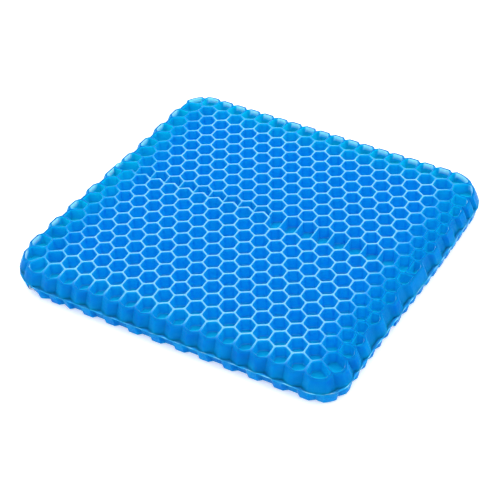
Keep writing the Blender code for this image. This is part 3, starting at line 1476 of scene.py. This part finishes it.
@dataclass(frozen=True)
class GelFinish:
    """A translucent blue thermoplastic gel.

    near is its colour by the cells' mouths, and deep far down in them, lighter: painted light that stands in
    for light through the walls. lit is painted light where light comes in through the outer walls, skin and
    hem the outer walls' colours at their tops and feet, where skin also darkens fading rims, and the
    darkest, last of the colours, is painted shade in the valleys between their columns and round fading
    rims. pale is the rims' painted highlight, window painted light on the outer cells' thin walls seen from
    inside, and haze lies over all in patches. scatter is how far light runs inside, and reds, greens and
    blues run by the shares in spread.
    """

    name: str
    near: Colour
    deep: Colour
    lit: Colour
    skin: Colour
    hem: Colour
    pale: Colour
    window: Colour
    haze: Colour
    fold: Colour
    roughness: float = 0.28
    smoother: float = 0.08
    rougher: float = 0.12
    haze_share: float = 0.30
    ior: float = 1.42
    shine: float = 0.015
    scatter: float = 7 * MM
    spread: tuple[float, float, float] = (0.5, 1.0, 1.0)

    def material(self) -> bpy.types.Material:
        """Makes the material.

        Returns:
            The material.
        """
        made = bpy.data.materials.new(self.name)
        made.use_nodes = True
        tree = made.node_tree
        shader = tree.nodes["Principled BSDF"]
        masks = {}
        for name in MeshWriter.MASKS:
            node = tree.nodes.new("ShaderNodeAttribute")
            node.attribute_name = name
            masks[name] = node.outputs["Fac"]
        mottle = tree.nodes.new("ShaderNodeGroup")
        mottle.node_tree = mottle_group()
        haze = self.scaled(tree, mottle.outputs["Patches"], self.haze_share)
        body = mix_colour(tree, masks["sink"], self.near, self.deep)
        body = mix_colour(tree, masks["edge"], body, self.lit)
        wall = mix_colour(tree, masks["sink"], self.skin, self.hem)
        body = mix_colour(tree, masks["skin"], body, wall)
        body = mix_colour(tree, haze, body, self.haze)
        body = mix_colour(tree, masks["fold"], body, self.fold)
        body = mix_colour(tree, masks["window"], body, self.window)
        colour = mix_colour(tree, masks["rim"], body, self.pale)
        tree.links.new(colour, shader.inputs["Base Color"])
        rough = tree.nodes.new("ShaderNodeMapRange")
        rough.inputs["To Min"].default_value = self.roughness - self.smoother
        rough.inputs["To Max"].default_value = self.roughness + self.rougher
        tree.links.new(mottle.outputs["Grain"], rough.inputs["Value"])
        tree.links.new(rough.outputs["Result"], shader.inputs["Roughness"])
        tree.links.new(mottle.outputs["Normal"], shader.inputs["Normal"])
        shader.inputs["IOR"].default_value = self.ior
        shader.inputs["Subsurface Weight"].default_value = 1.0
        shader.inputs["Specular IOR Level"].default_value = self.shine
        shader.inputs["Subsurface Radius"].default_value = self.spread
        shader.inputs["Subsurface Scale"].default_value = self.scatter
        return made

    def scaled(
        self, tree: bpy.types.NodeTree, socket: bpy.types.NodeSocket, share: float
    ) -> bpy.types.NodeSocket:
        """Multiplies a mask by a constant.

        Args:
            tree: the node tree to add the node to.
            socket: the socket that carries the mask.
            share: the constant.

        Returns:
            The socket that carries the result.
        """
        node = tree.nodes.new("ShaderNodeMath")
        node.operation = "MULTIPLY"
        node.inputs[1].default_value = share
        tree.links.new(socket, node.inputs[0])
        return node.outputs[0]


@dataclass(frozen=True)
class SoftLight:
    """One soft square light that faces the middle of the floor."""

    name: str
    place: tuple[float, float, float]
    size: float
    power: float

    def build(self) -> None:
        """Makes the light."""
        lamp = bpy.data.lights.new(self.name, "AREA")
        lamp.shape = "SQUARE"
        lamp.size = self.size
        lamp.energy = self.power
        made = bpy.data.objects.new(self.name, lamp)
        made.location = self.place
        aim = Vector((0.0, 0.0, 0.0)) - Vector(self.place)
        made.rotation_euler = aim.to_track_quat("-Z", "Y").to_euler()
        bpy.context.scene.collection.objects.link(made)


@dataclass(frozen=True)
class Viewpoint:
    """The camera, which looks down on the cushion from its front right.

    place is in pitches from the middle of the seat face, and right and up are its own directions.
    """

    lens: float = 86.6
    sensor: float = 36.0
    nearest: float = 0.05
    place: tuple[float, float, float] = (28.21, -43.75, 44.10)
    right: tuple[float, float, float] = (0.8588, 0.5101, -0.0477)
    up: tuple[float, float, float] = (-0.3105, 0.5923, 0.7435)

    def build(self, top: float) -> None:
        """Makes the camera.

        Args:
            top: the height of the seat face.
        """
        lens = bpy.data.cameras.new("camera")
        lens.lens = self.lens
        lens.sensor_width = self.sensor
        lens.clip_start = self.nearest
        made = bpy.data.objects.new("camera", lens)
        right, up = Vector(self.right), Vector(self.up)
        turn = Matrix((right, up, right.cross(up))).transposed()
        x, y, z = (pitches * UPPER_PITCH for pitches in self.place)
        made.matrix_world = Matrix.Translation(Vector((x, y, top + z))) @ turn.to_4x4()
        bpy.context.scene.collection.objects.link(made)
        bpy.context.scene.camera = made


@dataclass
class Studio:
    """A pale floor, soft light from above and the camera."""

    top: float
    floor_size: float = 6.0
    sky: float = 0.95
    lights: tuple[SoftLight, ...] = (
        SoftLight("overhead", (0.15, 0.35, 1.9), size=2.6, power=30.0),
        SoftLight("window", (-1.9, 0.9, 1.3), size=1.4, power=14.0),
    )

    def build(self) -> None:
        """Makes the floor, the lights and the camera."""
        self.floor()
        for light in self.lights:
            light.build()
        world = bpy.data.worlds.new("studio")
        world.use_nodes = True
        back = world.node_tree.nodes["Background"]
        back.inputs["Color"].default_value = (1.0, 1.0, 1.0, 1.0)
        back.inputs["Strength"].default_value = self.sky
        bpy.context.scene.world = world
        bpy.context.scene.view_settings.view_transform = "Standard"
        Viewpoint().build(self.top)

    def floor(self) -> None:
        """Makes the floor."""
        mesh = bpy.data.meshes.new("floor")
        size = self.floor_size
        corners = [(-size, -size, 0), (size, -size, 0), (size, size, 0), (-size, size, 0)]
        mesh.from_pydata(corners, [], [[0, 1, 2, 3]])
        made = bpy.data.objects.new("floor", mesh)
        bpy.context.scene.collection.objects.link(made)
        material = bpy.data.materials.new("floor_white")
        material.use_nodes = True
        shader = material.node_tree.nodes["Principled BSDF"]
        shader.inputs["Base Color"].default_value = (0.97, 0.97, 0.97, 1.0)
        shader.inputs["Roughness"].default_value = 0.9
        shader.inputs["Emission Color"].default_value = (1.0, 1.0, 1.0, 1.0)
        shader.inputs["Emission Strength"].default_value = 0.35
        made.data.materials.append(material)


def main() -> None:
    """Builds the cushion and the studio."""
    logging.basicConfig(level=logging.INFO, format="%(name)s %(message)s")
    low, high = CAD_BOX
    outline = Outline(half_width=(high.x - low.x) / 2, half_length=(high.y - low.y) / 2)
    web_low, web_high = (corner.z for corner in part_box("rear_parting_web"))
    gap = 0.05 * MM
    upper = Comb(
        "upper_comb",
        Side.UP,
        outline,
        pitch=UPPER_PITCH,
        wall=1.4 * MM,
        draft=6.0 * MM,
        scallop=4.6 * MM,
        crown=3.4 * MM,
        crown_reach=1.9 * UPPER_PITCH,
        face=high.z,
        base=web_high + gap,
    )
    lower = Comb(
        "lower_comb",
        Side.DOWN,
        outline,
        pitch=LOWER_PITCH,
        wall=1.8 * MM,
        draft=3.2 * MM,
        scallop=3.6 * MM,
        crown=0.8 * MM,
        crown_reach=1.0 * LOWER_PITCH,
        face=0.0,
        base=web_low - gap,
    )
    # Of the gel's colours, deep, lit and window are painted light, pale is a painted highlight, and the last
    # is painted shade.
    gel = GelFinish(
        "gel_blue",
        near=(0.002, 0.27, 0.70, 1.0),
        deep=(0.003, 0.50, 0.90, 1.0),
        lit=(0.002, 0.57, 0.74, 1.0),
        skin=(0.001, 0.145, 0.55, 1.0),
        hem=(0.001, 0.165, 0.50, 1.0),
        pale=(0.16, 0.43, 0.86, 1.0),
        window=(0.44, 0.74, 0.88, 1.0),
        haze=(0.002, 0.34, 0.68, 1.0),
        fold=(0.0005, 0.135, 0.39, 1.0),
    ).material()
    # The web's pale colour is the lip's painted highlight.
    web_gel = GelFinish(
        "gel_web_blue",
        near=(0.002, 0.18, 0.54, 1.0),
        deep=(0.002, 0.18, 0.54, 1.0),
        lit=(0.002, 0.26, 0.62, 1.0),
        skin=(0.002, 0.15, 0.46, 1.0),
        hem=(0.002, 0.15, 0.46, 1.0),
        pale=(0.16, 0.46, 0.80, 1.0),
        window=(0.30, 0.85, 1.0, 1.0),
        haze=(0.002, 0.22, 0.54, 1.0),
        fold=(0.001, 0.10, 0.50, 1.0),
    ).material()
    web = PartingWeb(outline, web_low, web_high)
    pieces = (
        (UpperComb(upper).build(), gel, "gel_blue", ("rear_upper_comb", "front_upper_comb")),
        (web.build(), web_gel, "gel_web_blue", ("rear_parting_web", "front_parting_web")),
        (LowerComb(lower).build(), gel, "gel_blue", ("rear_lower_comb", "front_lower_comb")),
    )
    for piece, material, slot, nodes in pieces:
        piece.data.materials.append(material)
        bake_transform(piece)
        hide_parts(*nodes)
        LOG.info("%s stands for %s", piece.name, ", ".join(nodes))
    Studio(high.z).build()


if __name__ == "__main__":
    main()
